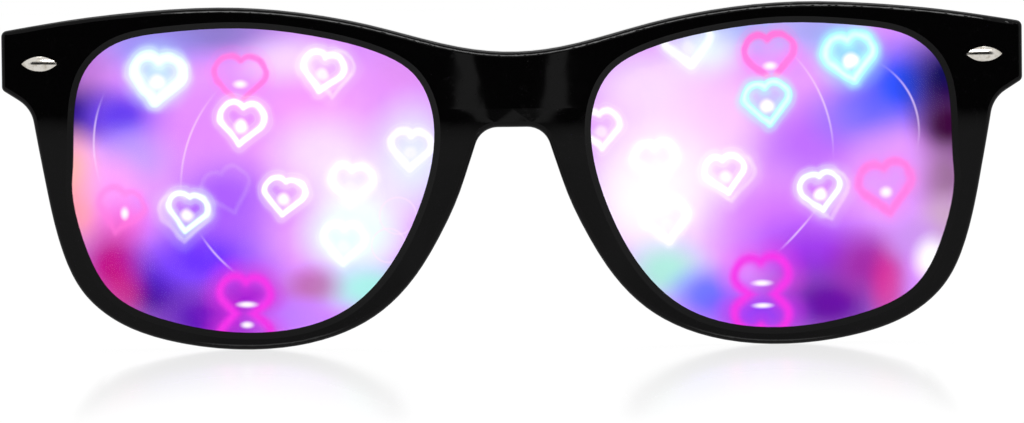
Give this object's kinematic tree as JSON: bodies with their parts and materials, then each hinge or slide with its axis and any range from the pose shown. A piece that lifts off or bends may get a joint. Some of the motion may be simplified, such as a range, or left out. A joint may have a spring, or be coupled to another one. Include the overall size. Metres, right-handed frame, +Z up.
{
  "type": "diffraction glasses",
  "caption": "Diffraction glasses: a thick square black plastic front with pointed oval studs, bowed clear lenses backed with heart-pattern film, and temples that fold on barrel hinges.",
  "frame": {"origin": "on the table, under the middle of the open glasses", "axes": "+X to the wearer's left, +Y back from the lenses to the temple tips, +Z up"},
  "size_m": [0.145, 0.1551, 0.0485],
  "materials": {
    "front_black": "polished black injection-moulded plastic",
    "temple_black": "polished black injection-moulded plastic",
    "pad_black": "smooth black plastic, bonded to the rim",
    "lens_clear": "clear polished plastic",
    "film": "embossed diffraction film, shimmering violet, pink and blue with glowing hearts",
    "stud_nickel": "bright nickel-plated metal",
    "hinge_steel": "nickel-plated hinge leaf",
    "screw_steel": "plated steel screw"
  },
  "bodies": {
    "front": {"front_frame": "front_black", "left_lens": "lens_clear", "left_diffraction_film": "film", "left_front_stud": "stud_nickel", "left_nose_pad": "pad_black", "left_front_hinge_leaf": "hinge_steel", "left_front_leaf_upper_screw": "screw_steel", "left_front_leaf_lower_screw": "screw_steel", "left_hinge_screw": "screw_steel", "right_lens": "lens_clear", "right_diffraction_film": "film", "right_front_stud": "stud_nickel", "right_nose_pad": "pad_black", "right_front_hinge_leaf": "hinge_steel", "right_front_leaf_upper_screw": "screw_steel", "right_front_leaf_lower_screw": "screw_steel", "right_hinge_screw": "screw_steel"},
    "left_temple_arm": {"left_temple": "temple_black", "left_temple_hinge_leaf": "hinge_steel", "left_temple_leaf_fore_screw": "screw_steel", "left_temple_leaf_rear_screw": "screw_steel"},
    "right_temple_arm": {"right_temple": "temple_black", "right_temple_hinge_leaf": "hinge_steel", "right_temple_leaf_fore_screw": "screw_steel", "right_temple_leaf_rear_screw": "screw_steel"}
  },
  "joints": [
    {"name": "left_temple_fold", "type": "hinge", "parent": "front", "child": "left_temple_arm", "pos_m": [0.0668, -0.06105, 0.0411], "axis": [0, 0, 1], "range_deg": [0, 90]},
    {"name": "right_temple_fold", "type": "hinge", "parent": "front", "child": "right_temple_arm", "pos_m": [-0.0668, -0.06105, 0.0411], "axis": [0, 0, -1], "range_deg": [0, 83.5]}
  ]
}
